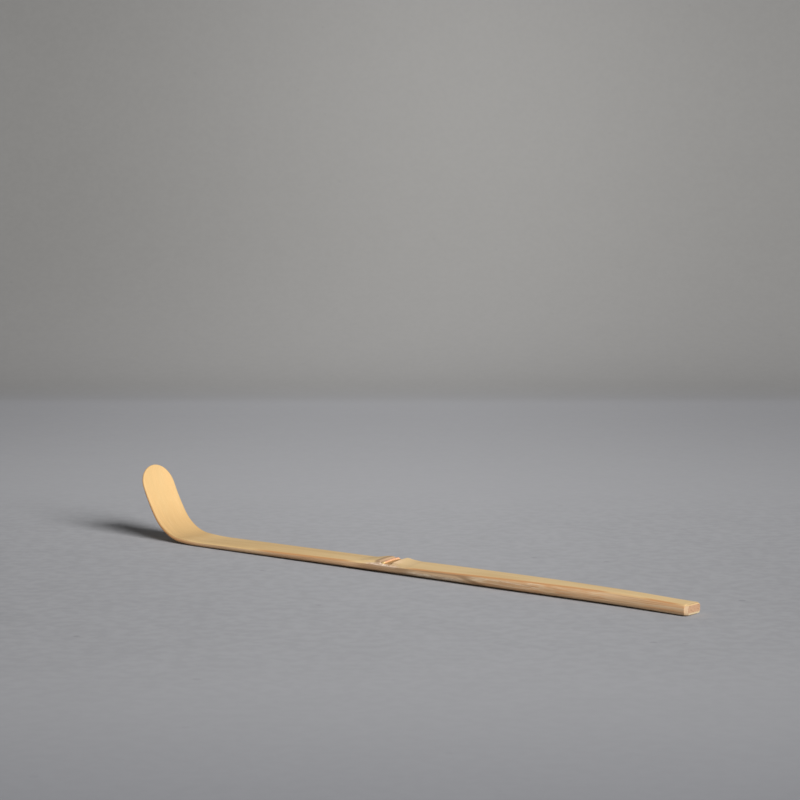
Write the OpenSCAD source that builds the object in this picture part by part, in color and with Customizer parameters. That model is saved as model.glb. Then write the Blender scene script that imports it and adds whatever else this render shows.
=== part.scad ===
// Bamboo tea scoop: one strip of culm wall, carved thin and bent up into a bowl at one end.
// A station is a distance in mm along the strip's underside, from the handle end to the tip.
// X runs from the bowl to the handle end, Y across the strip and Z up, skin side on top.
// The origin is under the middle of the strip, on the surface that it lies on.
// The strip is drawn as the tissues that bamboo has: skin outside, fibrous core inside,
// and between its two internodes the node, with the sheath scar and the nodal ridge.

/* [Length and bend] */
// Straight length, from the handle end to where the strip starts to lift
shaft_length = 146.8; // [125:0.5:165]
// Length over which the strip lifts gently before the bend
lift_length = 9.3; // [4:0.1:12]
// Angle turned over the gentle lift, in degrees
lift_angle = 5; // [1:1:8]
// Length of the tight bend
bend_length = 12; // [9:0.1:18]
// Angle turned in the tight bend, in degrees
bend_angle = 51.5; // [30:0.5:60]
// Length of the bowl, from the tight bend to the tip
bowl_length = 14.1; // [11:0.1:20]
// Angle that the bowl turns further, in degrees
bowl_angle = 18; // [5:1:25]
// Length over which the tip rounds off
tip_length = 5.7; // [4:0.1:9]

/* [Widths] */
// Width at the handle end
end_width = 5.9; // [4:0.1:7]
// Width at the tail, where the handle starts to widen
tail_width = 5.9; // [4:0.1:7]
// Distance from the handle end to the tail
tail_station = 20; // [12:1:30]
// Width in the middle of the handle
grip_width = 7.6; // [5:0.1:9]
// Distance from the handle end to the middle of the handle
grip_station = 50; // [40:1:58]
// Width at the node
node_width = 8.8; // [6:0.1:11]
// Width where the strip starts to lift
neck_width = 11.2; // [8:0.1:13]
// Width of the bowl
bowl_width = 11; // [8:0.1:13]

/* [Thicknesses] */
// Thickness of the edge at the handle end
end_thickness = 2.6; // [1.7:0.05:3.2]
// Thickness of the edge at the tail
tail_thickness = 3; // [1.8:0.05:3.6]
// Thickness of the edge in the middle of the handle
grip_thickness = 2.85; // [1.8:0.05:3.8]
// Thickness of the edge at the node
node_thickness = 2.2; // [1.6:0.05:2.9]
// Thickness of the edge where the strip starts to lift
neck_thickness = 1.4; // [1.05:0.05:1.7]
// Thickness of the edge in the bowl
bowl_thickness = 1.35; // [1.05:0.05:1.6]
// Thickness of the edge at the tip
tip_thickness = 0.95; // [0.95:0.05:1.4]
// Thickness of the skin
skin_thickness = 0.3; // [0.3:0.05:0.4]

/* [Cross section] */
// Radius of the culm, which crowns the skin side
culm_radius = 40; // [20:1:60]
// Depth of the dish across the bowl
dish_depth = 0.3; // [0.05:0.05:0.4]
// Height of the rounding along the lower edges
lower_round = 0.45; // [0.2:0.05:0.5]
// Width of the rounding along the shaft's lower edges
lower_round_width = 1.2; // [0.3:0.1:1.5]
// How far each flank leans in, from the skin down to the lower edge
flank_draw = 0.3; // [0.05:0.05:0.5]
// Height of the rounding along the skin's edges
upper_round = 0.12; // [0.05:0.01:0.13]
// Length of the small cuts that take the corners off the handle end
end_cut = 0.7; // [0.3:0.05:1]
// Depth of those cuts on the sides
end_cut_depth = 0.6; // [0.2:0.05:0.8]
// Depth of the cut on the underside
end_cut_under = 0.4; // [0.1:0.05:0.5]
// Depth of the cut on the skin side
end_cut_top = 0.15; // [0.05:0.01:0.15]

/* [Node] */
// Distance from the handle end to the crest of the nodal ridge
node_station = 84.3; // [70:0.1:100]
// Height of the nodal ridge above the skin
ridge_height = 0.54; // [0.2:0.02:0.7]
// Length of the ridge's long slope, on the handle side
ridge_slope = 5.5; // [4:0.5:9]
// Length of the ridge's steep face, on the bowl side
ridge_face = 0.9; // [0.6:0.1:1.4]
// Depth of the valley between the ridge and the sheath scar
valley_depth = 0.06; // [0:0.02:0.12]
// Length of the valley floor
valley_length = 2; // [0.8:0.1:3]
// Height of the sheath scar above the skin
scar_height = 0.44; // [0.2:0.01:0.7]
// Length of the sheath scar along the strip
scar_length = 0.9; // [0.7:0.1:2]
// Depth of the groove on the bowl side of the sheath scar
groove_depth = 0.14; // [0.05:0.01:0.15]
// Length of that groove along the strip
groove_length = 0.8; // [0.5:0.1:1.5]
// Angle by which the node's rings lean from square across the strip
node_lean = 8; // [-12:1:12]

/* [Hidden] */

skin_colour = "#d9b97f";
core_colour = "#b48f63";
node_colour = "#c79d6c";
scar_colour = "#dca680";
ridge_colour = "#e0bd86";
valley_colour = "#cfa873";

// Stations where the pieces of the strip meet
lift_end = shaft_length + lift_length;
bend_end = lift_end + bend_length;
tip_station = bend_end + bowl_length;
tip_start = tip_station - tip_length;
ridge_start = node_station - ridge_slope;
ridge_end = node_station + ridge_face;
scar_start = ridge_end + valley_length;
scar_end = scar_start + scar_length;
groove_end = scar_end + groove_length;
// The share of its width over which the back of the bowl is flat
bowl_flat_share = 0.3;
// The dish fades in over the part of the shaft next to the bend
dish_start = shaft_length - 2 * bend_length;

// Spacing of the cross sections
shaft_step = 9;
bend_step = 1.7;
bowl_step = 2.5;
slope_step = 1.2;
tip_turns = 7;
// The tip's rounding ends here, in degrees, which leaves a flat too small to see
tip_last_turn = 84;

// Places across the strip, as shares of its half width, where a cross section has points
function across(s) =
    let (
        flat = flat_share(s),
        side = [flat / 2, flat, for (t = [0.5, 0.85]) flat + t * (1 - flat), 1]
    )
    concat([for (i = [len(side) - 1:-1:0]) -side[i]], [0], side);

// Places from a to b, no further than step apart
function spread(a, b, step) =
    let (n = ceil((b - a) / step))
    [for (i = [0:n]) a + (b - a) * i / n];
function all_but_first(list) = [for (i = [1:len(list) - 1]) list[i]];

// Eases from 0 to 1 as s goes from a to b
function ease(s, a, b) =
    let (t = min(1, max(0, (s - a) / (b - a))))
    t * t * (3 - 2 * t);

// Smooth curve through points of [station, value], level at both ends
function tangent(points, i) =
    (i == 0 || i == len(points) - 1) ? 0
    : (points[i + 1][1] - points[i - 1][1]) / (points[i + 1][0] - points[i - 1][0]);
function curve_part(points, i, s) =
    let (
        span = points[i + 1][0] - points[i][0],
        t = (s - points[i][0]) / span
    )
    points[i][1] * (1 + 2 * t) * pow(1 - t, 2)
    + points[i + 1][1] * t * t * (3 - 2 * t)
    + tangent(points, i) * span * t * pow(1 - t, 2)
    - tangent(points, i + 1) * span * t * t * (1 - t);
function curve(points, s) =
    let (
        last = len(points) - 1,
        held = min(points[last][0], max(points[0][0], s)),
        i = max([for (j = [0:last - 1]) if (points[j][0] <= held) j])
    )
    curve_part(points, i, held);

width_curve = [
    [0, end_width],
    [tail_station, tail_width],
    [grip_station, grip_width],
    [node_station, node_width],
    [shaft_length, neck_width],
    [bend_end, bowl_width]
];
thickness_curve = [
    [0, end_thickness],
    [tail_station, tail_thickness],
    [grip_station, grip_thickness],
    [node_station, node_thickness],
    [shaft_length, neck_thickness],
    [bend_end, bowl_thickness],
    [tip_station, tip_thickness]
];

// The underside line in side view: [distance from the handle end, height, angle in degrees]
function arc_on(start, length, angle, along) =
    let (
        radius = length / angle * 180 / PI,
        a = start[2] + angle * along / length
    )
    [start[0] + radius * (sin(a) - sin(start[2])), start[1] + radius * (cos(start[2]) - cos(a)), a];
lift_from = [shaft_length, 0, 0];
bend_from = arc_on(lift_from, lift_length, lift_angle, lift_length);
bowl_from = arc_on(bend_from, bend_length, bend_angle, bend_length);
function underside_line(s) =
    s <= shaft_length ? [s, 0, 0]
    : s <= lift_end ? arc_on(lift_from, lift_length, lift_angle, s - shaft_length)
    : s <= bend_end ? arc_on(bend_from, bend_length, bend_angle, s - lift_end)
    : arc_on(bowl_from, bowl_length, bowl_angle, s - bend_end);
half_reach = underside_line(tip_station)[0] / 2;

// How far the corners are cut back at the handle end, from 1 at the face to 0
function end_cut_share(s) = max(0, 1 - s / end_cut);

function tip_rounding(s) =
    let (t = max(0, (s - tip_start) / tip_length))
    sqrt(max(0, 1 - t * t));
function half_width(s) =
    curve(width_curve, s) / 2 * tip_rounding(s) - end_cut_depth * end_cut_share(s);
function lower_half_width(s) = half_width(s) - flank_draw * tip_rounding(s);
function edge_height(s) = curve(thickness_curve, s);

// Rise of the middle over the edges: the culm's crown, which turns into the bowl's dish
function crown(s) =
    let (w = curve(width_curve, s))
    w * w / (8 * culm_radius) * (1 - ease(s, dish_start, bend_end))
    - dish_depth * tip_rounding(s) * ease(s, dish_start, bend_end);

// The share of the half width over which the underside is flat
function flat_share(s) =
    let (
        rounded = lower_round_width / lower_half_width(min(s, shaft_length)),
        shaft_share = max(bowl_flat_share, 1 - rounded)
    )
    shaft_share + (bowl_flat_share - shaft_share) * ease(s, shaft_length, bend_end);

// Height of the ridge, valley, scar and groove over the skin at station s
function node_relief(s) =
    s <= ridge_start ? 0
    : s <= node_station ? ridge_height * pow((s - ridge_start) / ridge_slope, 2)
    : s <= ridge_end ? ridge_height - (ridge_height + valley_depth) * ease(s, node_station, ridge_end)
    : s <= scar_start ? -valley_depth
    : s <= scar_end ? scar_bead((s - scar_start) / scar_length)
    : s <= groove_end ? -groove_depth * (1 - (s - scar_end) / groove_length)
    : 0;
function scar_bead(t) =
    scar_height * sqrt(max(0, 1 - pow(2 * t - 1, 2)))
    - valley_depth * (1 - t) - groove_depth * t;

// Heights over the underside line at station s, and u from -1 to 1 across the strip
function under_height(s, u) =
    let (
        flat = flat_share(s),
        t = max(0, (abs(u) - flat) / (1 - flat))
    )
    lower_round * (1 - sqrt(max(0, 1 - t * t)))
    + end_cut_under * end_cut_share(s);
function inner_height(s, u) = edge_height(s) - skin_thickness + crown(s) * (1 - u * u);
function outer_height(s, u) =
    edge_height(s) + crown(s) * (1 - u * u) + node_relief(s)
    - (abs(u) == 1 ? upper_round : 0) - end_cut_top * end_cut_share(s);

// The rings of the node lean a little, and the lean fades out along both internodes
function lean(s) =
    tan(node_lean) * ease(s, grip_station, ridge_start)
    * (1 - ease(s, groove_end, groove_end + shaft_step));

// A point of the strip at station s, v across it and at a height, in the part's frame
function place(s, v, height) =
    let (p = underside_line(s + v * lean(s)))
    [half_reach - p[0] + height * sin(p[2]), v, p[1] + height * cos(p[2])];

// The grids of points that bound the tissues
function under_grid(stations) =
    [for (s = stations) [for (u = across(s)) place(s, u * lower_half_width(s), under_height(s, u))]];
function inner_grid(stations) =
    [for (s = stations) [for (u = across(s)) place(s, u * half_width(s), inner_height(s, u))]];
function outer_grid(stations) =
    [for (s = stations) [for (u = across(s)) place(s, u * half_width(s), outer_height(s, u))]];

// A closed solid between two grids of points, each a row per station, from handle to tip
module layer(low, high) {
    rows = len(low);
    cols = len(low[0]);
    size = rows * cols;
    points = [for (grid = [low, high]) for (row = grid) for (p = row) p];
    function quad(a, b, c, d) = [[a, b, c], [a, c, d]];
    function low_at(r, c) = r * cols + c;
    function high_at(r, c) = size + r * cols + c;
    faces = [
        for (r = [0:rows - 2]) for (c = [0:cols - 2])
            each quad(low_at(r, c), low_at(r + 1, c), low_at(r + 1, c + 1), low_at(r, c + 1)),
        for (r = [0:rows - 2]) for (c = [0:cols - 2])
            each quad(high_at(r, c), high_at(r, c + 1), high_at(r + 1, c + 1), high_at(r + 1, c)),
        for (r = [0:rows - 2])
            each quad(low_at(r, 0), high_at(r, 0), high_at(r + 1, 0), low_at(r + 1, 0)),
        for (r = [0:rows - 2])
            each quad(
                low_at(r, cols - 1), low_at(r + 1, cols - 1),
                high_at(r + 1, cols - 1), high_at(r, cols - 1)
            ),
        for (c = [0:cols - 2])
            each quad(low_at(0, c), low_at(0, c + 1), high_at(0, c + 1), high_at(0, c)),
        for (c = [0:cols - 2])
            each quad(
                low_at(rows - 1, c), high_at(rows - 1, c),
                high_at(rows - 1, c + 1), low_at(rows - 1, c + 1)
            )
    ];
    polyhedron(points, faces);
}

module core(stations) {
    layer(under_grid(stations), inner_grid(stations));
}

module skin(stations) {
    layer(inner_grid(stations), outer_grid(stations));
}

// Takes the space under the resting surface away, which leaves one flat face there
module rest_flat() {
    below = 10;
    difference() {
        children();
        translate([-half_reach - below, -neck_width, -below])
            cube([2 * (half_reach + below), 2 * neck_width, below]);
    }
}

handle_stations = concat(
    [0, end_cut],
    all_but_first(spread(end_cut, ridge_start, shaft_step))
);
ridge_stations = concat(
    spread(ridge_start, node_station, slope_step),
    all_but_first(spread(node_station, ridge_end, ridge_face / 3))
);
valley_stations = [ridge_end, scar_start];
scar_stations = spread(scar_start, scar_end, scar_length / 6);
tip_stations = [
    for (i = [1:tip_turns]) tip_start + tip_length * sin(tip_last_turn * i / tip_turns)
];
bowl_shaft_stations = concat(
    [scar_end],
    spread(groove_end, shaft_length, shaft_step),
    all_but_first(spread(shaft_length, lift_end, bend_step)),
    all_but_first(spread(lift_end, bend_end, bend_step)),
    all_but_first(spread(bend_end, tip_start, bowl_step)),
    tip_stations
);

module bowl_shaft_core() {
    color(core_colour) rest_flat() core(bowl_shaft_stations);
}

module bowl_shaft_skin() {
    color(skin_colour) skin(bowl_shaft_stations);
}

module node_core() {
    color(node_colour) rest_flat() core([ridge_start, node_station, ridge_end, scar_start, scar_end]);
}

module sheath_scar() {
    color(scar_colour) skin(scar_stations);
}

module node_valley_skin() {
    color(valley_colour) skin(valley_stations);
}

module nodal_ridge() {
    color(ridge_colour) skin(ridge_stations);
}

module handle_core() {
    color(core_colour) rest_flat() core(handle_stations);
}

module handle_skin() {
    color(skin_colour) skin(handle_stations);
}

bowl_shaft_core();
bowl_shaft_skin();
node_core();
sheath_scar();
node_valley_skin();
nodal_ridge();
handle_core();
handle_skin();
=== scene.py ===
"""Bamboo tea scoop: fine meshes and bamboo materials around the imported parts.

The strip's shape is described flat, by a station along the underside, a place across and a
height, all in millimetres, and is then bent up along the underside line into the part's frame.
"""
import math

import bmesh
import bpy
import numpy as np
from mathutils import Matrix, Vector


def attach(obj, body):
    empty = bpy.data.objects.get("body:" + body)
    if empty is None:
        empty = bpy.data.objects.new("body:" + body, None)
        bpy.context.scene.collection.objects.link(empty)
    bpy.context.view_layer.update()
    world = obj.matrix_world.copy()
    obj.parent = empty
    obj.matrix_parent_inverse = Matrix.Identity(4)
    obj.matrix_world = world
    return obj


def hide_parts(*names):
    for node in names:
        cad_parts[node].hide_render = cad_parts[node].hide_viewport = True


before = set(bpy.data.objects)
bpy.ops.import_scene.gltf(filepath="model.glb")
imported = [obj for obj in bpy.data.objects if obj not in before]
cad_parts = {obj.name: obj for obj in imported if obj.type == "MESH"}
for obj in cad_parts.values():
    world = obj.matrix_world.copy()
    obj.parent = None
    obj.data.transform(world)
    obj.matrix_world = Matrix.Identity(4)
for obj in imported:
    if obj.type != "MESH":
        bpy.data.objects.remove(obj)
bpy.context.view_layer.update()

MM = 0.001

# Length and bend of the strip
SHAFT_LENGTH = 146.8
LIFT_LENGTH = 9.3
LIFT_ANGLE = 5.0
BEND_LENGTH = 12.0
BEND_ANGLE = 51.5
BOWL_LENGTH = 14.1
BOWL_ANGLE = 18.0
TIP_LENGTH = 5.7

# Widths and thicknesses
END_WIDTH = 5.9
TAIL_WIDTH = 5.9
TAIL_STATION = 20.0
GRIP_WIDTH = 7.6
GRIP_STATION = 50.0
NODE_WIDTH = 8.8
NECK_WIDTH = 11.2
BOWL_WIDTH = 11.0
END_THICKNESS = 2.6
TAIL_THICKNESS = 3.0
GRIP_THICKNESS = 2.85
NODE_THICKNESS = 2.2
NECK_THICKNESS = 1.4
BOWL_THICKNESS = 1.35
TIP_THICKNESS = 0.95
SKIN_THICKNESS = 0.3
LEAST_SKIN = 0.01

# Cross section
CULM_RADIUS = 40.0
DISH_DEPTH = 0.3
BACK_CROWN = 0.22
END_CUT = 0.7
END_CUT_DEPTH = 0.6
END_CUT_UNDER = 0.4
END_CUT_TOP = 0.15

# Node: a ridge, a valley, a bead where the sheath was, a groove and a low hump behind it
NODE_STATION = 84.3
RIDGE_HEIGHT = 0.54
RIDGE_SLOPE = 5.5
RIDGE_FACE = 0.9
RIDGE_CREST = 1.0
VALLEY_DEPTH = 0.06
VALLEY_LENGTH = 2.0
SCAR_HEIGHT = 0.44
SCAR_LENGTH = 0.9
SCAR_SQUARENESS = 2.6
GROOVE_DEPTH = 0.14
GROOVE_LENGTH = 0.8
HUMP_HEIGHT = 0.48
HUMP_RISE = 1.3
HUMP_LENGTH = 7.0
NODE_LEAN = 8.0
LEAN_FADE = 9.0
FAR_SIDE_RISE = 0.016
FAR_SIDE_START = -2.0
RING_END_SHARE = 1.12
RING_END_SLOPE = 1.6

# Stations where the pieces of the strip meet
LIFT_END = SHAFT_LENGTH + LIFT_LENGTH
BEND_END = LIFT_END + BEND_LENGTH
TIP_STATION = BEND_END + BOWL_LENGTH
TIP_START = TIP_STATION - TIP_LENGTH
RIDGE_START = NODE_STATION - RIDGE_SLOPE
RIDGE_END = NODE_STATION + RIDGE_FACE
SCAR_START = RIDGE_END + VALLEY_LENGTH
SCAR_END = SCAR_START + SCAR_LENGTH
GROOVE_END = SCAR_END + GROOVE_LENGTH
HUMP_TOP = SCAR_END + HUMP_RISE
HUMP_END = HUMP_TOP + HUMP_LENGTH
DISH_START = SHAFT_LENGTH - 2 * BEND_LENGTH

# Spacing of the rings along the strip
SHAFT_STEP = 0.5
NODE_STEP = 0.08
BOWL_STEP = 0.3
END_CUT_STEPS = 4
TIP_TURNS = 40

# Points across a section
SIDE_POINTS = 5
LOWER_POINTS = 12
GAP_POINTS = 4
EDGE_POINTS = 8
MIDDLE_POINTS = 44

# Mesh tolerances: a point at the tip, the least half width, and welding, in metres
AT_TIP = TIP_STATION - 1e-6
LEAST_HALF_WIDTH = 0.01
WELD = 1e-7
SHARP_ANGLE = 34.0

WIDTHS = [
    (0, END_WIDTH),
    (TAIL_STATION, TAIL_WIDTH),
    (GRIP_STATION, GRIP_WIDTH),
    (NODE_STATION, NODE_WIDTH),
    (SHAFT_LENGTH, NECK_WIDTH),
    (BEND_END, BOWL_WIDTH),
]
THICKNESSES = [
    (0, END_THICKNESS),
    (TAIL_STATION, TAIL_THICKNESS),
    (GRIP_STATION, GRIP_THICKNESS),
    (NODE_STATION, NODE_THICKNESS),
    (SHAFT_LENGTH, NECK_THICKNESS),
    (BEND_END, BOWL_THICKNESS),
    (TIP_STATION, TIP_THICKNESS),
]

# The upper edges' elliptical roundings: station, width and height. The near edge is shaved
# more than the far one at the tail and beside the node.
EDGE_WIDTH = 1
EDGE_HEIGHT = 2
NEAR_EDGE = [
    (0, 1.2, 0.95),
    (20, 1.5, 1.3),
    (42, 1.1, 0.9),
    (60, 0.45, 0.42),
    (78, 0.5, 0.45),
    (90, 1.25, 0.95),
    (106, 0.9, 0.65),
    (125, 0.6, 0.45),
    (165, 0.4, 0.36),
]
FAR_EDGE = [
    (0, 0.85, 0.7),
    (20, 0.9, 0.8),
    (42, 0.6, 0.6),
    (60, 0.45, 0.42),
    (90, 0.5, 0.45),
    (125, 0.5, 0.42),
    (165, 0.4, 0.36),
]

# The lower roundings: their widths, and their share of the height under the upper ones
LOWER_WIDTHS = [
    (0, 0.7),
    (16, 0.9),
    (60, 0.9),
    (84, 0.9),
    (110, 0.8),
    (SHAFT_LENGTH, 0.7),
    (BEND_END, 0.75),
    (TIP_STATION, 0.7),
]
LOWER_SHARES = [
    (0, 0.7),
    (20, 0.75),
    (60, 0.6),
    (84, 0.65),
    (110, 0.85),
    (SHAFT_LENGTH, 0.85),
    (TIP_STATION, 0.85),
]

# The underside rises a little towards its edges: the height of the gap there, and how far in
# the gap reaches, in millimetres and at most as a share of the width
UNDER_GAPS = [(0, 0.22), (20, 0.36), (40, 0.42), (94, 0.46), (114, 0.36), (SHAFT_LENGTH, 0.2), (LIFT_END, 0)]
UNDER_GAP_WIDTH = 1.6
UNDER_GAP_SHARE = 0.3

# Share of the lower rounding's width, from the flank, that shows the flank's wood
FLANK_SHARE = 0.7


def ease(s, a, b):
    """Eases from 0 to 1 as s goes from a to b."""
    t = np.clip((s - a) / (b - a), 0, 1)
    return t * t * (3 - 2 * t)


def curve(points, s, column=1):
    """Smooth curve through rows of a station and values, level at both ends."""
    x = np.array([p[0] for p in points], float)
    y = np.array([p[column] for p in points], float)
    slope = np.zeros(len(x))
    slope[1:-1] = (y[2:] - y[:-2]) / (x[2:] - x[:-2])
    held = np.clip(s, x[0], x[-1])
    i = np.clip(np.searchsorted(x, held, side="right") - 1, 0, len(x) - 2)
    span = x[i + 1] - x[i]
    t = (held - x[i]) / span
    return (
        y[i] * (1 + 2 * t) * (1 - t) ** 2
        + y[i + 1] * t * t * (3 - 2 * t)
        + slope[i] * span * t * (1 - t) ** 2
        - slope[i + 1] * span * t * t * (1 - t)
    )


def underside_line(s):
    """Distance from the handle end, height and angle of the underside at station s."""
    along = np.minimum(s, SHAFT_LENGTH)
    height = np.zeros_like(along)
    angle = np.zeros_like(along)
    start = SHAFT_LENGTH
    turned = 0.0
    for length, degrees in (
        (LIFT_LENGTH, LIFT_ANGLE),
        (BEND_LENGTH, BEND_ANGLE),
        (BOWL_LENGTH, BOWL_ANGLE),
    ):
        radius = length / math.radians(degrees)
        turn = np.clip(s - start, 0, length) / radius
        along = along + radius * (np.sin(turned + turn) - math.sin(turned))
        height = height + radius * (math.cos(turned) - np.cos(turned + turn))
        angle = angle + turn
        turned += math.radians(degrees)
        start += length
    return along, height, angle


HALF_REACH = float(underside_line(np.array([TIP_STATION]))[0][0]) / 2


def tip_rounding(s):
    t = np.clip((s - TIP_START) / TIP_LENGTH, 0, 1)
    return np.sqrt(1 - t * t)


def half_width(s):
    return curve(WIDTHS, s) / 2 * tip_rounding(s)


def edge_height(s):
    return curve(THICKNESSES, s)


def crown(s):
    """Rise of the middle over the edges: the culm's crown, which turns into the bowl's dish."""
    fade = ease(s, DISH_START, BEND_END)
    culm = curve(WIDTHS, s) ** 2 / (8 * CULM_RADIUS)
    return culm * (1 - fade) - DISH_DEPTH * tip_rounding(s) * fade


def share_across(s, v):
    return np.clip(np.abs(v) / np.maximum(half_width(s), LEAST_HALF_WIDTH), 0, 1)


def end_cut_share(s):
    return np.clip(1 - s / END_CUT, 0, 1)


def node_relief(s):
    """Height of the ridge, valley, scar, groove and hump over the skin at station s."""
    t = (s - SCAR_START) / SCAR_LENGTH
    bead = SCAR_HEIGHT * np.clip(1 - np.abs(2 * t - 1) ** SCAR_SQUARENESS, 0, 1) ** 0.5
    out_of_groove = np.sin(math.pi / 2 * ease(s, SCAR_END, HUMP_TOP))
    return np.select(
        [s <= RIDGE_START, s <= NODE_STATION, s <= RIDGE_END, s <= SCAR_START, s <= SCAR_END, s <= HUMP_TOP],
        [
            0 * s,
            RIDGE_HEIGHT * ((s - RIDGE_START) / RIDGE_SLOPE) ** 2,
            RIDGE_HEIGHT - (RIDGE_HEIGHT + VALLEY_DEPTH) * ease(s, NODE_STATION, RIDGE_END),
            0 * s - VALLEY_DEPTH,
            bead - VALLEY_DEPTH * (1 - t) - GROOVE_DEPTH * t,
            -GROOVE_DEPTH + (HUMP_HEIGHT + GROOVE_DEPTH) * out_of_groove,
        ],
        HUMP_HEIGHT * (1 - ease(s, HUMP_TOP, HUMP_END)),
    )


def shaved_relief(s, v):
    """The node's relief, cut off where the shaved edges cross it."""
    rounding = np.where(v < 0, curve(NEAR_EDGE, s), curve(FAR_EDGE, s))
    inset = half_width(s) - np.abs(v) - RING_END_SHARE * rounding
    return np.minimum(node_relief(s), RING_END_SLOPE * np.maximum(inset, 0))


def inner_height(s, v):
    """Height of the surface between core and skin."""
    return edge_height(s) - SKIN_THICKNESS + crown(s) * (1 - share_across(s, v) ** 2)


def outer_height(s, v):
    """Height of the skin's surface, before its edges are rounded."""
    cut = END_CUT_TOP * end_cut_share(s)
    return edge_height(s) + crown(s) * (1 - share_across(s, v) ** 2) + shaved_relief(s, v) - cut


def lean(s):
    """How far the node's rings lean: a shift along the strip for each millimetre across."""
    rise = ease(s, GRIP_STATION, RIDGE_START)
    fall = ease(s, GROOVE_END, GROOVE_END + LEAN_FADE)
    return math.tan(math.radians(NODE_LEAN)) * rise * (1 - fall)


def place(s, v, height):
    """Points in the part's frame, in metres, of flat strip points. The skin's far side stands a
    little higher beside the node."""
    along, up, angle = underside_line(s + v * lean(s))
    by_node = ease(s, GRIP_STATION, RIDGE_START) * (1 - ease(s, GROOVE_END, HUMP_END))
    height = height * (1 + FAR_SIDE_RISE * np.maximum(v - FAR_SIDE_START, 0) * by_node)
    x = HALF_REACH - along + height * np.sin(angle)
    return np.stack([x, v, up + height * np.cos(angle)], -1) * MM


def spread(a, b, step):
    return np.linspace(a, b, int(math.ceil((b - a) / step)) + 1)


def joined(*runs):
    """Stations of several runs, without repeats."""
    return np.unique(np.round(np.concatenate(runs), 6))


def outline(stations):
    """Points on the strip's outline and the outward normals there."""
    s = stations
    w = half_width(s)
    ds = np.gradient(s)
    dw = np.gradient(w)
    size = np.hypot(ds, dw)
    at_tip = s >= AT_TIP
    return s, w, np.where(at_tip, 1.0, -dw / size), np.where(at_tip, 0.0, ds / size)


def across_rows(stations, near_insets, far_insets):
    """A flat grid of points: per station, in from the near edge by the insets, over the middle
    and out to the far edge."""
    s, w, ns, nv = outline(stations)
    near_s = s[:, None] - ns[:, None] * near_insets
    near_v = -w[:, None] + nv[:, None] * near_insets
    far_s = s[:, None] - ns[:, None] * far_insets
    far_v = w[:, None] - nv[:, None] * far_insets
    t = np.linspace(0, 1, MIDDLE_POINTS + 2)[1:-1]
    mid_s = near_s[:, -1:] * (1 - t) + far_s[:, -1:] * t
    mid_v = near_v[:, -1:] * (1 - t) + far_v[:, -1:] * t
    grid_s = np.concatenate([near_s, mid_s, far_s[:, ::-1]], 1)
    grid_v = np.concatenate([near_v, mid_v, far_v[:, ::-1]], 1)
    return grid_s, grid_v


def rim_turn(edge_tall):
    """The turn of the upper rounding at which skin and core meet."""
    return np.arcsin(np.clip(1 - SKIN_THICKNESS / edge_tall, 0, 1))


def flank_profile(stations, edge):
    """Insets and heights down a flank, from the skin to the underside: the lower part of the
    upper rounding, a straight side, the lower rounding and the underside's own slight rise."""
    wide = curve(edge, stations, EDGE_WIDTH)[:, None]
    tall = curve(edge, stations, EDGE_HEIGHT)[:, None]
    top = edge_height(stations)[:, None]
    low_wide = curve(LOWER_WIDTHS, stations)[:, None]
    low_tall = curve(LOWER_SHARES, stations)[:, None] * (top - tall)
    gap = curve(UNDER_GAPS, stations)[:, None]
    gap_wide = np.minimum(UNDER_GAP_WIDTH, UNDER_GAP_SHARE * curve(WIDTHS, stations))[:, None]
    turn = rim_turn(tall) * np.linspace(1, 0, SIDE_POINTS)
    low_turn = np.linspace(0, math.pi / 2, LOWER_POINTS)
    in_gap = np.linspace(0, 1, GAP_POINTS + 1)[1:]
    insets = [wide * (1 - np.cos(turn)), low_wide * (1 - np.cos(low_turn)), low_wide + gap_wide * in_gap]
    heights = [
        top - tall + tall * np.sin(turn),
        gap + (low_tall - gap) * (1 - np.sin(low_turn)),
        gap * (1 - in_gap) ** 2,
    ]
    return np.concatenate(insets, 1), np.concatenate(heights, 1)


def core_rows(stations):
    """The underside with both flanks, and the surface under the skin."""
    near, near_heights = flank_profile(stations, NEAR_EDGE)
    far, far_heights = flank_profile(stations, FAR_EDGE)
    cut = END_CUT_DEPTH * end_cut_share(stations)[:, None]
    s, v = across_rows(stations, near + cut, far + cut)
    middle = np.zeros((len(stations), MIDDLE_POINTS))
    under = np.concatenate([near_heights, middle, far_heights[:, ::-1]], 1)
    rim = edge_height(s) - SKIN_THICKNESS
    back = BACK_CROWN * ease(s, SHAFT_LENGTH, BEND_END) * share_across(s, v) ** 2
    under = under + back * np.clip(1 - under / rim, 0, 1)
    under = np.maximum(under, END_CUT_UNDER * end_cut_share(stations)[:, None])
    across = np.linspace(0, 1, near.shape[1])
    top_near = near[:, :1] * (1 - across) + near[:, -1:] * across
    top_far = far[:, :1] * (1 - across) + far[:, -1:] * across
    top_s, top_v = across_rows(stations, top_near + cut, top_far + cut)
    inner = inner_height(top_s, top_v)
    under[:, 0] = inner[:, 0]
    under[:, -1] = inner[:, -1]
    inward = np.concatenate([near, np.full_like(middle, np.inf), far[:, ::-1]], 1)
    shave = 1 - np.clip(inward / curve(LOWER_WIDTHS, stations)[:, None] - FLANK_SHARE, 0, 1)
    return (s, v, under, shave), (top_s, top_v, inner, np.ones_like(inner))


def edge_profile(stations, edge):
    """Insets of the skin's underside and top along an edge, how far its top drops there, and
    how far each of its points lies in the rounding."""
    wide = curve(edge, stations, EDGE_WIDTH)[:, None]
    tall = curve(edge, stations, EDGE_HEIGHT)[:, None]
    start = rim_turn(tall)
    across = np.linspace(0, 1, EDGE_POINTS)
    turn = start + (math.pi / 2 - start) * across
    top = wide * (1 - np.cos(turn))
    low = top[:, :1] * (1 - across) + top[:, -1:] * across
    return low, top, tall * (1 - np.sin(turn)), 1 - top / wide


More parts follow.
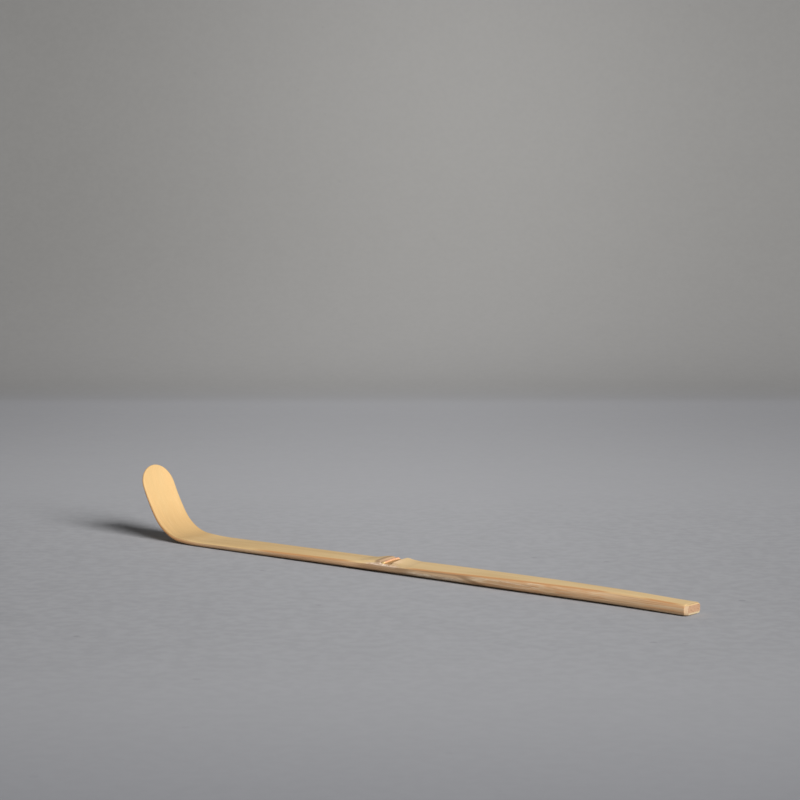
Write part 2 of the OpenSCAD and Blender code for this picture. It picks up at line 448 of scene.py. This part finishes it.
def skin_rows(stations):
    """The surface under the skin, and the skin's surface with its rounded edges."""
    cut = END_CUT_DEPTH * end_cut_share(stations)[:, None]
    near_low, near_top, near_drop, near_shave = edge_profile(stations, NEAR_EDGE)
    far_low, far_top, far_drop, far_shave = edge_profile(stations, FAR_EDGE)
    low_s, low_v = across_rows(stations, near_low + cut, far_low + cut)
    high_s, high_v = across_rows(stations, near_top + cut, far_top + cut)
    low = inner_height(low_s, low_v)
    high = outer_height(high_s, high_v)
    high[:, :EDGE_POINTS] -= near_drop
    high[:, -EDGE_POINTS:] -= far_drop[:, ::-1]
    high = np.maximum(high, inner_height(high_s, high_v) + LEAST_SKIN)
    high[:, 0] = low[:, 0]
    high[:, -1] = low[:, -1]
    shave = np.zeros_like(high)
    shave[:, :EDGE_POINTS] = near_shave
    shave[:, -EDGE_POINTS:] = far_shave[:, ::-1]
    return (low_s, low_v, low, shave), (high_s, high_v, high, shave)


def shell_mesh(name, low, high, pointed):
    """A closed mesh between two grids that share their outer columns. Its points keep the strip
    coordinates, and how far they lie in a shaved edge, for the materials."""
    rows, cols = low[0].shape
    points = []
    strip = []
    for s, v, h, shave in (low, high):
        points.append(place(s, v, h).reshape(-1, 3))
        strip.append(np.stack([s, v, h], -1).reshape(-1, 3))
    shaves = np.concatenate([low[3].ravel(), high[3].ravel()])
    size = rows * cols
    r, c = np.meshgrid(np.arange(rows - 1), np.arange(cols - 1), indexing="ij")
    at = (r * cols + c).ravel()
    under = np.stack([at, at + cols, at + cols + 1, at + 1], 1)
    over = np.stack([at, at + 1, at + cols + 1, at + cols], 1) + size
    col = np.arange(cols - 1)
    start = np.stack([col, col + 1, col + 1 + size, col + size], 1)
    faces = [under, over, start]
    if not pointed:
        last = (rows - 1) * cols + col
        faces.append(np.stack([last, last + size, last + 1 + size, last + 1], 1))
    mesh = bpy.data.meshes.new(name)
    mesh.from_pydata(np.concatenate(points).tolist(), [], np.concatenate(faces).tolist())
    kept = mesh.attributes.new("strip", "FLOAT_VECTOR", "POINT")
    kept.data.foreach_set("vector", np.concatenate(strip).astype(np.float32).ravel())
    kept = mesh.attributes.new("shave", "FLOAT", "POINT")
    kept.data.foreach_set("value", shaves.astype(np.float32))
    return mesh


def finish_mesh(mesh):
    """Welds the shared edges, and shades smooth but for true corners."""
    work = bmesh.new()
    work.from_mesh(mesh)
    bmesh.ops.remove_doubles(work, verts=work.verts, dist=WELD)
    bmesh.ops.dissolve_degenerate(work, edges=work.edges, dist=WELD)
    bmesh.ops.recalc_face_normals(work, faces=work.faces)
    work.to_mesh(mesh)
    work.free()
    mesh.shade_smooth()
    mesh.set_sharp_from_angle(angle=math.radians(SHARP_ANGLE))


def piece(node, rows, stations, material):
    """A fine mesh that stands for a CAD node."""
    low, high = rows(stations)
    mesh = shell_mesh("fine_" + node, low, high, pointed=stations[-1] >= AT_TIP)
    finish_mesh(mesh)
    obj = bpy.data.objects.new("fine_" + node, mesh)
    bpy.context.scene.collection.objects.link(obj)
    mesh.materials.append(material)
    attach(obj, "root")
    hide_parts(node)
    return obj


HANDLE_STATIONS = joined(
    spread(0, END_CUT, END_CUT / END_CUT_STEPS),
    spread(END_CUT, RIDGE_START, SHAFT_STEP),
)
RIDGE_STATIONS = joined(
    spread(RIDGE_START, NODE_STATION - RIDGE_CREST, SHAFT_STEP / 2),
    spread(NODE_STATION - RIDGE_CREST, RIDGE_END, NODE_STEP),
)
VALLEY_STATIONS = spread(RIDGE_END, SCAR_START, NODE_STEP)
SCAR_STATIONS = spread(SCAR_START, SCAR_END, NODE_STEP / 2)
NODE_STATIONS = spread(RIDGE_START, SCAR_END, SHAFT_STEP)
BOWL_SHAFT_STATIONS = joined(
    spread(SCAR_END, HUMP_TOP, NODE_STEP),
    spread(HUMP_TOP, SHAFT_LENGTH, SHAFT_STEP),
    spread(SHAFT_LENGTH, TIP_START, BOWL_STEP),
    TIP_START + TIP_LENGTH * np.sin(np.linspace(0, math.pi / 2, TIP_TURNS)),
)

# Noise over the strip: length and width of a feature in millimetres, detail, roughness and
# shift, and the two values between which the feature fades in
NOISES = {
    "skin_clouds": (30, 1.8, 3.0, 0.55, 0.0, 0.35, 0.7),
    "skin_streaks": (18, 0.24, 3.0, 0.6, 4.0, 0.52, 0.72),
    "skin_hairs": (6, 0.08, 2.0, 0.6, 9.0, 0.4, 0.75),
    "bare_fibre": (1.7, 0.4, 4.0, 0.75, 6.0, 0.47, 0.6),
    "shaded_valley_grain": (1.2, 0.35, 3.0, 0.6, 5.0, 0.35, 0.65),
    "core_clouds": (34, 0.9, 3.0, 0.55, 2.0, 0.3, 0.7),
    "core_streaks": (20, 0.17, 3.0, 0.62, 7.0, 0.5, 0.6),
    "orange_streaks": (14, 0.17, 3.0, 0.6, 12.0, 0.46, 0.58),
    "grey_mottle": (1.6, 0.4, 4.0, 0.7, 15.0, 0.4, 0.6),
    "scar_grain": (0.5, 0.3, 3.0, 0.6, 0.0, 0.35, 0.65),
}

# Scattered long threads: their length and spacing in millimetres, shift and randomness, and
# the two distances between which a thread fades out
THREADS = {
    "fibre_threads": (26, 0.34, 3.0, 1.0, 0.32, 0.12),
    "back_pores": (7, 0.42, 21.0, 1.0, 0.3, 0.14),
    "end_bundles": (9, 0.42, 5.0, 0.8, 0.15, 0.45),
}

# Where features lie, in millimetres along and across the strip and up from the underside, and
# as a share of the way into a shaved edge. Two limits are a ramp from 0 to 1, and three are
# the start and end of a patch and its fade.
ALONG = {
    "shaft_tone": (88, 125),
    "bowl_tone": (148, 168),
    "bend_shade": (159, 165, 8),
    "bare_edge": (84, 90, 4),
    "handle_line": (5, 76, 5),
    "shaft_line": (100, 124, 6),
    "calm_tail": (13, 20, 4),
    # Painted shade in the groove behind the scar
    "groove": (SCAR_END + 0.05, SCAR_END + 0.4, 0.5),
    "hump": (SCAR_END + 0.6, SCAR_END + 1.6, 1.0),
    "bare_wedge": (SCAR_END, 90.5, 2),
    # Painted highlight on the near end of the ridge's crest
    "crest": (NODE_STATION - 0.9, RIDGE_END, 1.2),
    "skin_end": (END_CUT, END_CUT - 0.2),
    "orange_streaks": (0, 56, 10),
    "pale_lines": (44, 56, 8),
    "brown_edge": (62, 84, 4),
    "grey_mottle": (64, 78, 4),
    "bare_facet": (84, 90, 3),
    "flank_tone": (83, 91),
    "flank_tone_end": (134, 120),
    "node_flank": (81, 92, 5),
    # The bowl's flank: partly the wood's orange tone, partly painted light
    "bowl_flank_tone_and_light": (140, 164),
    "cut_facet": (0.02, END_CUT - 0.1, 0.1),
    "end_face": (0.01, 0.0),
}
ACROSS = {
    # Painted highlight on the near end of the ridge's crest
    "crest": (1.0, -1.5),
    # Painted highlight at the scar's near end
    "scar_end_highlight": (-2.4, -3.1),
    # The cut facet's tone runs from painted shade on the near side to painted light on the far side
    "cut_facet": (-2.0, 2.0),
}
UP = {
    "pale_lines": (1.0, 1.6),
    "brown_edge": (1.75, 2.05),
    "grey_mottle": (0.4, 1.25, 0.35),
    "bare_facet": (1.45, 1.9),
    "slant_streak": (0.8, 1.7, 0.4),
    # Painted light: a pale foot on the end face, standing in for a chamfer turned to the light
    "lit_end_foot": (0.9, 0.5),
}
IN_EDGE = {
    "bare_edge": (0.1, 0.5),
    "edge_line": (0.45, 1.0, 0.25),
    "ring_end": (0.0, 0.25),
    "underside": (0.9, 0.1),
}

# Tones laid over the ground: red, green and blue as written from 0 to 255, and strength
LAYERS = {
    "bend_shade": (160, 128, 84, 0.5),
    "skin_clouds": (190, 152, 102, 0.35),
    "skin_streaks": (186, 146, 94, 0.22),
    "skin_hairs": (232, 208, 166, 0.12),
    "edge_line": (186, 130, 84, 0.8),
    # Painted shade in the groove behind the scar
    "groove": (112, 92, 56, 1.0),
    "hump": (149, 120, 98, 0.75),
    # Painted highlight on the near end of the ridge's crest
    "crest": (224, 190, 158, 0.4),
    "skin_end": (166, 136, 98, 0.6),
    "orange_streaks": (196, 140, 92, 0.6),
    "pale_lines": (230, 210, 180, 0.75),
    "fibre_threads": (148, 104, 68, 0.5),
    "brown_edge": (160, 116, 80, 0.6),
    "slant_streak": (104, 74, 50, 0.5),
    "flank_tone": (164, 119, 82, 0.45),
    "node_flank": (112, 84, 60, 0.45),
    # The bowl's flank: partly the wood's orange tone, partly painted light
    "bowl_flank_tone_and_light": (230, 168, 106, 0.85),
    "back_pores": (160, 116, 74, 0.6),
    # Painted light on the foot of the end face
    "lit_end_foot": (168, 152, 122, 1.0),
    # Painted highlight at the scar's near end
    "scar_end_highlight": (222, 192, 130, 0.85),
}

# Grounds that vary between two tones
GROUNDS = {
    "bare_fibre": ((226, 204, 180), (176, 138, 108)),
    # The valley's deeper gold brown is painted shade under the ridge
    "shaded_valley_grain": ((186, 144, 96), (162, 120, 76)),
    "grey_mottle": ((214, 196, 170), (178, 150, 122)),
    "back": ((222, 192, 148), (206, 172, 126)),
    "end_bundles": ((130, 94, 68), (156, 124, 97)),
    # The cut facet: painted shade on the near side, painted light on the far side
    "cut_facet": ((168, 144, 116), (196, 178, 150)),
    "scar_grain": ((206, 160, 128), (184, 136, 102)),
    "core": ((208, 176, 138), (192, 156, 118)),
    "node_core": ((204, 170, 132), (188, 151, 113)),
}

# How strongly bare wood, the grey mottle and the end facet cover what they lie on
BARE_EDGE_COVER = 0.85
BARE_WEDGE_COVER = 0.8
BARE_FACET_COVER = 0.6
MOTTLE_COVER = 0.8
FACET_COVER = 0.8

# The painted shade in the groove across the strip, the wedge of bare wood behind the scar (its slope and its
# two limits), the slanting streak on the flank (its station, slope and width), and how far the coloured lines
# go back at the tail and the pale ones outside their patch
GROOVE_SHADE_ACROSS = (-2.2, 0.5, 0.85, 0.3)
WEDGE_SLOPE = 0.22
WEDGE_LIMITS = (16.7, 16.2)
SLANT_STATION = 54.5
SLANT_SLOPE = 4.0
SLANT_WIDTH = (-0.5, 0.5, 2.2)
TAIL_CALM = 0.7
PALE_LINES_LEAST = 0.15

# Roughness by streak (two values of the noise and the roughness there), share of the streaks
# in the relief, bump height in millimetres and specular level
SKIN_ROUGHNESS = (0.3, 0.7, 0.58, 0.68)
SKIN_RELIEF = (0.6, 0.02, 0.2)
CORE_ROUGHNESS = (0.3, 0.7, 0.6, 0.72)
CORE_RELIEF = (0.5, 0.05, 0.25)

# Roughness, bump height in millimetres and specular level
VALLEY_SURFACE = (0.6, 0.04, 0.25)
SCAR_SURFACE = (0.7, 0.06, 0.2)
BACKDROP_SURFACE = (0.9, 0.02, 0.1)


def srgb(r, g, b):
    """A colour as written, from 0 to 255, as linear light."""
    values = [x / 255 for x in (r, g, b)]
    return tuple(x / 12.92 if x <= 0.04045 else ((x + 0.055) / 1.055) ** 2.4 for x in values) + (1.0,)


class Finish:
    """A node material that is built up step by step in strip coordinates."""

    def __init__(self, name):
        self.material = bpy.data.materials.new(name)
        self.material.use_nodes = True
        self.tree = self.material.node_tree
        self.shader = self.tree.nodes["Principled BSDF"]
        self.strip = self.add("ShaderNodeAttribute", attribute_name="strip").outputs["Vector"]
        parts = self.add("ShaderNodeSeparateXYZ", {"Vector": self.strip})
        self.station, self.across, self.height = parts.outputs[:3]
        self.shave = self.add("ShaderNodeAttribute", attribute_name="shave").outputs["Fac"]

    def feed(self, socket, value):
        """Links a socket to another, or gives it a value."""
        if isinstance(value, bpy.types.NodeSocket):
            self.tree.links.new(value, socket)
        else:
            socket.default_value = value

    def add(self, kind, inputs=None, **settings):
        made = self.tree.nodes.new(kind)
        for name, value in settings.items():
            setattr(made, name, value)
        for name, value in (inputs or {}).items():
            self.feed(made.inputs[name], value)
        return made

    def math(self, operation, a, b, c=0.0):
        return self.add("ShaderNodeMath", {0: a, 1: b, 2: c}, operation=operation).outputs[0]

    def times(self, first, *more):
        for factor in more:
            first = self.math("MULTIPLY", first, factor)
        return first

    def plus(self, first, *more):
        for term in more:
            first = self.math("ADD", first, term)
        return first

    def stretched(self, along, across, shift):
        """Strip coordinates scaled so that a feature is along by across millimetres."""
        scaled = self.add(
            "ShaderNodeVectorMath",
            {0: self.strip, 1: (1 / along, 1 / across, 1 / across), 2: (shift, shift, shift)},
            operation="MULTIPLY_ADD",
        )
        return scaled.outputs[0]

    def noise(self, name):
        """A noise over the strip, and the share of it that shows as its feature."""
        along, across, detail, rough, shift, low, high = NOISES[name]
        where = self.stretched(along, across, shift)
        inputs = {"Vector": where, "Scale": 1.0, "Detail": detail, "Roughness": rough}
        made = self.add("ShaderNodeTexNoise", inputs).outputs[0]
        return made, self.between(made, low, high)

    def threads(self, name):
        """Distance to the nearest of scattered threads, and the share that shows as one."""
        along, across, shift, randomness, low, high = THREADS[name]
        where = self.stretched(along, across, shift)
        inputs = {"Vector": where, "Scale": 1.0, "Randomness": randomness}
        made = self.add("ShaderNodeTexVoronoi", inputs).outputs["Distance"]
        return made, self.between(made, low, high)

    def between(self, value, low, high, to_low=0.0, to_high=1.0):
        """Maps low to to_low and high to to_high, smoothly and held at the ends."""
        made = self.add(
            "ShaderNodeMapRange",
            {0: value, 1: low, 2: high, 3: to_low, 4: to_high},
            interpolation_type="SMOOTHSTEP",
            clamp=True,
        )
        return made.outputs[0]

    def share(self, value, limits):
        """A ramp between two limits, or a patch with a start, an end and a fade."""
        if len(limits) == 2:
            return self.between(value, *limits)
        start, end, fade = limits
        rise = self.between(value, start - fade, start)
        return self.times(rise, self.between(value, end, end + fade, 1.0, 0.0))

    def where(self, name):
        """The share of the surface that a named feature covers."""
        found = []
        for value, limits in (
            (self.station, ALONG),
            (self.across, ACROSS),
            (self.height, UP),
            (self.shave, IN_EDGE),
        ):
            if name in limits:
                found.append(self.share(value, limits[name]))
        return self.times(*found)

    def mix(self, share, a, b):
        made = self.add("ShaderNodeMix", data_type="RGBA")
        for index, value in ((0, share), (6, a), (7, b)):
            self.feed(made.inputs[index], value)
        return made.outputs[2]

    def lay(self, colour, name, share):
        """A named tone laid over a colour."""
        *tone, strength = LAYERS[name]
        return self.mix(self.times(share, strength), colour, srgb(*tone))

    def ground(self, name, share):
        first, second = GROUNDS[name]
        return self.mix(share, srgb(*first), srgb(*second))

    def bare_wood(self):
        """The whitish, mottled fibre that shaving lays bare beside the node."""
        return self.ground("bare_fibre", self.noise("bare_fibre")[1])

    def calm_at_tail(self, share):
        """Lowers a share in the part of the tail where the wood is calmer."""
        return self.times(share, self.math("MULTIPLY_ADD", self.where("calm_tail"), -TAIL_CALM, 1.0))

    def surface(self, colour, roughness, height, bump_mm, specular):
        bump = self.add("ShaderNodeBump", {"Height": height, "Strength": 1.0, "Distance": bump_mm * MM})
        self.feed(self.shader.inputs["Base Color"], colour)
        self.feed(self.shader.inputs["Normal"], bump.outputs[0])
        self.feed(self.shader.inputs["Roughness"], roughness)
        self.feed(self.shader.inputs["Specular IOR Level"], specular)
        return self.material

    def streaked_surface(self, colour, roughness, relief, streaks, fine):
        """A surface whose roughness and relief follow its streaks."""
        share, bump_mm, specular = relief
        height = self.plus(self.times(streaks, share), self.times(fine, 1 - share))
        return self.surface(colour, self.between(streaks, *roughness), height, bump_mm, specular)


def skin_finish(name, handle, shaft, bowl):
    """The culm's outer skin, scraped and sanded: satin, with fine lengthwise striation, a warm line along the
    shaved edge, and bare wood, painted shade in the groove and a low hump behind the scar, and a painted
    highlight on the near end of the ridge's crest."""
    f = Finish(name)
    streaks, streaks_seen = f.noise("skin_streaks")
    hairs, hairs_seen = f.noise("skin_hairs")
    colour = f.mix(f.where("shaft_tone"), handle, shaft)
    colour = f.mix(f.where("bowl_tone"), colour, bowl)
    colour = f.lay(colour, "bend_shade", f.where("bend_shade"))
    colour = f.lay(colour, "skin_clouds", f.noise("skin_clouds")[1])
    colour = f.lay(colour, "skin_streaks", streaks_seen)
    colour = f.lay(colour, "skin_hairs", hairs_seen)
    colour = f.mix(f.times(f.where("bare_edge"), BARE_EDGE_COVER), colour, f.bare_wood())
    lines = f.times(f.where("edge_line"), f.plus(f.where("handle_line"), f.where("shaft_line")))
    colour = f.lay(colour, "edge_line", f.calm_at_tail(lines))
    # Painted shade in the groove behind the scar, darkest on the near side
    colour = f.lay(colour, "groove", f.times(f.where("groove"), f.between(f.across, *GROOVE_SHADE_ACROSS)))
    colour = f.lay(colour, "hump", f.where("hump"))
    wedge = f.share(f.math("MULTIPLY_ADD", f.station, WEDGE_SLOPE, f.across), WEDGE_LIMITS)
    wedge = f.times(wedge, f.where("bare_wedge"), BARE_WEDGE_COVER)
    colour = f.mix(wedge, colour, f.bare_wood())
    # Painted highlight on the near end of the ridge's crest
    colour = f.lay(colour, "crest", f.where("crest"))
    colour = f.lay(colour, "skin_end", f.where("skin_end"))
    return f.streaked_surface(colour, SKIN_ROUGHNESS, SKIN_RELIEF, streaks, hairs)


def valley_finish(name):
    """The skin between ridge and scar: deeper gold brown, painted shade under the ridge."""
    f = Finish(name)
    grain, grain_seen = f.noise("shaded_valley_grain")
    colour = f.ground("shaded_valley_grain", grain_seen)
    colour = f.mix(f.where("ring_end"), colour, f.bare_wood())
    roughness, bump_mm, specular = VALLEY_SURFACE
    return f.surface(colour, roughness, grain, bump_mm, specular)


def core_finish(name, ground):
    """The carved wood: threads of fibre in paler ground tissue, matte and slightly grooved. The flank varies
    along the strip, the underside shows pores, and the cut end shows bundles. The bowl's flank takes an
    orange tone that is partly painted light, the cut facet is painted darker on its near side and lighter on
    its far side, and the end face has a painted pale foot."""
    f = Finish(name)
    clouds_seen = f.noise("core_clouds")[1]
    streaks, streaks_seen = f.noise("core_streaks")
    threads, threads_seen = f.threads("fibre_threads")
    colour = f.ground(ground, clouds_seen)
    orange = f.times(f.noise("orange_streaks")[1], f.where("orange_streaks"))
    colour = f.lay(colour, "orange_streaks", f.calm_at_tail(orange))
    lined = f.share(f.station, ALONG["pale_lines"])
    lined = f.math("MULTIPLY_ADD", lined, 1 - PALE_LINES_LEAST, PALE_LINES_LEAST)
    lined = f.times(streaks_seen, f.share(f.height, UP["pale_lines"]), lined)
    colour = f.lay(colour, "pale_lines", lined)
    colour = f.lay(colour, "fibre_threads", threads_seen)
    colour = f.lay(colour, "brown_edge", f.where("brown_edge"))
    mottle = f.ground("grey_mottle", f.noise("grey_mottle")[1])
    colour = f.mix(f.times(f.where("grey_mottle"), MOTTLE_COVER), colour, mottle)
    colour = f.mix(f.times(f.where("bare_facet"), BARE_FACET_COVER), colour, f.bare_wood())
    slant = f.math("MULTIPLY_ADD", f.height, -SLANT_SLOPE, f.math("SUBTRACT", f.station, SLANT_STATION))
    colour = f.lay(colour, "slant_streak", f.times(f.share(slant, SLANT_WIDTH), f.where("slant_streak")))
    colour = f.lay(colour, "flank_tone", f.times(f.where("flank_tone"), f.where("flank_tone_end")))
    colour = f.lay(colour, "node_flank", f.where("node_flank"))
    # The bowl's flank: partly the wood's orange tone, partly painted light
    colour = f.lay(colour, "bowl_flank_tone_and_light", f.where("bowl_flank_tone_and_light"))
    back = f.lay(f.ground("back", clouds_seen), "back_pores", f.threads("back_pores")[1])
    colour = f.mix(f.where("underside"), colour, back)
    # Painted shade on the cut facet's near side and painted light on its far side
    facet = f.ground("cut_facet", f.share(f.across, ACROSS["cut_facet"]))
    on_facet = f.share(f.station, ALONG["cut_facet"])
    colour = f.mix(f.times(on_facet, FACET_COVER), colour, facet)
    face = f.ground("end_bundles", f.threads("end_bundles")[1])
    # Painted light: a pale foot on the end face
    face = f.lay(face, "lit_end_foot", f.where("lit_end_foot"))
    colour = f.mix(f.where("end_face"), colour, face)
    return f.streaked_surface(colour, CORE_ROUGHNESS, CORE_RELIEF, streaks, threads)


def scar_finish(name):
    """The broken rim where the sheath grew: pale pink fibre ends, with a painted yellow highlight at its near
    end.
    """
    f = Finish(name)
    grain, grain_seen = f.noise("scar_grain")
    colour = f.ground("scar_grain", grain_seen)
    # Painted highlight at the scar's near end
    colour = f.lay(colour, "scar_end_highlight", f.where("scar_end_highlight"))
    colour = f.mix(f.where("ring_end"), colour, f.bare_wood())
    roughness, bump_mm, specular = SCAR_SURFACE
    return f.surface(colour, roughness, grain, bump_mm, specular)


HANDLE_TONE = srgb(220, 190, 141)
RIDGE_TONE = srgb(211, 182, 137)
SHAFT_TONE = srgb(212, 180, 129)
BOWL_TONE = srgb(179, 148, 101)
SKIN = skin_finish("bamboo_skin", HANDLE_TONE, SHAFT_TONE, BOWL_TONE)
CORE = core_finish("bamboo_core", "core")
NODE_CORE = core_finish("bamboo_node_core", "node_core")
NODE_SKIN = skin_finish("bamboo_node_skin", RIDGE_TONE, SHAFT_TONE, BOWL_TONE)
VALLEY_SKIN = valley_finish("bamboo_valley_skin")
SCAR = scar_finish("bamboo_scar")

piece("bowl_shaft_core", core_rows, BOWL_SHAFT_STATIONS, CORE)
piece("bowl_shaft_skin", skin_rows, BOWL_SHAFT_STATIONS, SKIN)
piece("node_core", core_rows, NODE_STATIONS, NODE_CORE)
piece("sheath_scar", skin_rows, SCAR_STATIONS, SCAR)
piece("node_valley_skin", skin_rows, VALLEY_STATIONS, VALLEY_SKIN)
piece("nodal_ridge", skin_rows, RIDGE_STATIONS, NODE_SKIN)
piece("handle_core", core_rows, HANDLE_STATIONS, CORE)
piece("handle_skin", skin_rows, HANDLE_STATIONS, SKIN)

# Camera: the place, pitch and lens that the strip's perspective in the photograph gives
CAMERA_AT = Vector((0.3456, -0.3998, 0.0915))
VIEW_AZIMUTH = 40.72
VIEW_PITCH = 5.366
LENS = 99.0
SENSOR = 36.0
NEAREST = 0.01
FARTHEST = 20.0


def view_direction():
    turn = math.radians(VIEW_AZIMUTH)
    pitch = math.radians(VIEW_PITCH)
    return Vector((-math.sin(turn) * math.cos(pitch), math.cos(turn) * math.cos(pitch), -math.sin(pitch)))


def add_camera():
    data = bpy.data.cameras.new("camera")
    data.lens = LENS
    data.sensor_width = SENSOR
    data.clip_start = NEAREST
    data.clip_end = FARTHEST
    camera = bpy.data.objects.new("camera", data)
    camera.location = CAMERA_AT
    camera.rotation_mode = "QUATERNION"
    camera.rotation_quaternion = view_direction().to_track_quat("-Z", "Y")
    bpy.context.scene.collection.objects.link(camera)
    bpy.context.scene.camera = camera


# Backdrop: a floor that sweeps up into a wall behind the scoop, in metres
COVE_START = 0.455
COVE_RADIUS = 0.25
WALL_HEIGHT = 1.1
FLOOR_FRONT = 6.0
FLOOR_SIDE = 6.0
COVE_TURNS = 24

# Its tone by the scoop, and the tones it takes between two distances behind the scoop: the far floor, the
# cove, the wall and the floor in front. The darker tones are painted shade.
FLOOR_TONE = srgb(171, 171, 174)
BACKDROP_TONES = [
    (0.05, 0.42, srgb(155, 155, 158)),
    (0.42, 0.5, srgb(137, 136, 135)),
    (0.47, 0.66, srgb(123, 122, 120)),
    (-0.11, -0.29, srgb(139, 140, 145)),
]

# How painted shade darkens it to the sides, and how those limits shift on the wall and in front. Each is two
# distances in metres and the values there.
LEFT_SHADE = (-0.27, 0.0, 0.32, 0.0)
RIGHT_SHADE = (0.0, 0.2, 0.0, 0.2)
WALL_SHIFT = (0.47, 0.66, 0.0, 0.04)
FRONT_SHIFT = (-0.2, 0.25, 0.075, 0.0)
RIGHT_FRONT_SHARE = 0.5

# Its fine textures: scale, and the noise values and darkening between which each shows. They
# are clearest around the scoop.
MOTTLE_SCALE = 60.0
MOTTLE_DETAIL = 6.0
MOTTLE_DIM = (0.3, 0.7, 0.0, 0.03)
GRAIN_SCALE = 320.0
GRAIN_DETAIL = 3.0
GRAIN_DIM = (0.35, 0.65, 0.0, 0.06)
SPECK_SCALE = 55.0
SPECK_DIM = (0.03, 0.06, 0.12, 0.0)
CLEAR_TEXTURE = (-0.06, 0.06, 0.1)
FAINT_TEXTURE = 0.3


def add_backdrop():
    """Floor and wall in one sweep: X is sideways in the view, Y away from the camera."""
    profile = [(-FLOOR_FRONT, 0.0), (0.0, 0.0), (COVE_START, 0.0)]
    for i in range(1, COVE_TURNS + 1):
        a = math.pi / 2 * i / COVE_TURNS
        profile.append((COVE_START + COVE_RADIUS * math.sin(a), COVE_RADIUS * (1 - math.cos(a))))
    profile.append((COVE_START + COVE_RADIUS, WALL_HEIGHT))
    points = [(way, distance, height) for distance, height in profile for way in (-FLOOR_SIDE, FLOOR_SIDE)]
    faces = [(2 * i, 2 * i + 1, 2 * i + 3, 2 * i + 2) for i in range(len(profile) - 1)]
    mesh = bpy.data.meshes.new("backdrop")
    mesh.from_pydata(points, [], faces)
    mesh.shade_smooth()
    backdrop = bpy.data.objects.new("backdrop", mesh)
    backdrop.rotation_euler = (0, 0, math.radians(VIEW_AZIMUTH))
    bpy.context.scene.collection.objects.link(backdrop)
    mesh.materials.append(backdrop_finish())


def backdrop_finish():
    """Matte grey card with painted shade: darker up the wall, towards the front and out to the sides."""
    f = Finish("backdrop")
    place_on_it = f.add("ShaderNodeTexCoord").outputs["Object"]
    side, back = f.add("ShaderNodeSeparateXYZ", {"Vector": place_on_it}).outputs[:2]
    mottle = f.add(
        "ShaderNodeTexNoise", {"Vector": place_on_it, "Scale": MOTTLE_SCALE, "Detail": MOTTLE_DETAIL}
    ).outputs[0]
    grain = f.add(
        "ShaderNodeTexNoise", {"Vector": place_on_it, "Scale": GRAIN_SCALE, "Detail": GRAIN_DETAIL}
    ).outputs[0]
    specks = f.add("ShaderNodeTexVoronoi", {"Vector": place_on_it, "Scale": SPECK_SCALE}).outputs["Distance"]
    colour = FLOOR_TONE
    for start, end, tone in BACKDROP_TONES:
        colour = f.mix(f.between(back, start, end), colour, tone)
    front = f.between(back, *FRONT_SHIFT)
    side = f.math("SUBTRACT", side, f.between(back, *WALL_SHIFT))
    left = f.between(f.math("SUBTRACT", side, front), *LEFT_SHADE)
    right = f.between(f.math("MULTIPLY_ADD", front, RIGHT_FRONT_SHARE, side), *RIGHT_SHADE)
    worn = f.plus(f.between(mottle, *MOTTLE_DIM), f.between(grain, *GRAIN_DIM), f.between(specks, *SPECK_DIM))
    clear = f.math("MULTIPLY_ADD", f.share(back, CLEAR_TEXTURE), 1 - FAINT_TEXTURE, FAINT_TEXTURE)
    # Painted shade to the sides, with the card's mottle, grain and specks
    shade_and_wear = f.plus(left, right, f.times(worn, clear))
    roughness, bump_mm, specular = BACKDROP_SURFACE
    return f.surface(f.mix(shade_and_wear, colour, srgb(0, 0, 0)), roughness, mottle, bump_mm, specular)


# Lights: azimuth 0 is towards +X and 90 towards +Y, and width is the angle that the light fills
KEY_LIGHT = {"azimuth": -14, "elevation": 24.5, "width": 28.0, "strength": 5.9}
FILL_LIGHT = {"azimuth": -75, "elevation": 25, "width": 50.0, "strength": 0.16}
SKY_TINT = (0.9, 0.95, 1.0, 1.0)
SKY_STRENGTH = 0.055
SEEN_SKY = srgb(150, 149, 148)


def add_light(name, azimuth, elevation, width, strength):
    """A soft round light in a direction from the scoop."""
    a = math.radians(azimuth)
    e = math.radians(elevation)
    toward = Vector((math.cos(a) * math.cos(e), math.sin(a) * math.cos(e), math.sin(e)))
    data = bpy.data.lights.new(name, "SUN")
    data.angle = math.radians(width)
    data.energy = strength
    light = bpy.data.objects.new(name, data)
    light.location = toward
    light.rotation_mode = "QUATERNION"
    light.rotation_quaternion = toward.to_track_quat("Z", "Y")
    bpy.context.scene.collection.objects.link(light)


def add_sky():
    """A faint even light, and the grey that the camera sees past the backdrop."""
    world = bpy.data.worlds.new("world")
    bpy.context.scene.world = world
    world.use_nodes = True
    tree = world.node_tree
    sky = tree.nodes["Background"]
    sky.inputs["Color"].default_value = SKY_TINT
    sky.inputs["Strength"].default_value = SKY_STRENGTH
    seen = tree.nodes.new("ShaderNodeBackground")
    seen.inputs["Color"].default_value = SEEN_SKY
    path = tree.nodes.new("ShaderNodeLightPath")
    either = tree.nodes.new("ShaderNodeMixShader")
    tree.links.new(path.outputs["Is Camera Ray"], either.inputs[0])
    tree.links.new(sky.outputs[0], either.inputs[1])
    tree.links.new(seen.outputs[0], either.inputs[2])
    tree.links.new(either.outputs[0], tree.nodes["World Output"].inputs["Surface"])


add_camera()
add_backdrop()
add_light("key", **KEY_LIGHT)
add_light("fill", **FILL_LIGHT)
add_sky()
bpy.context.scene.view_settings.view_transform = "Standard"
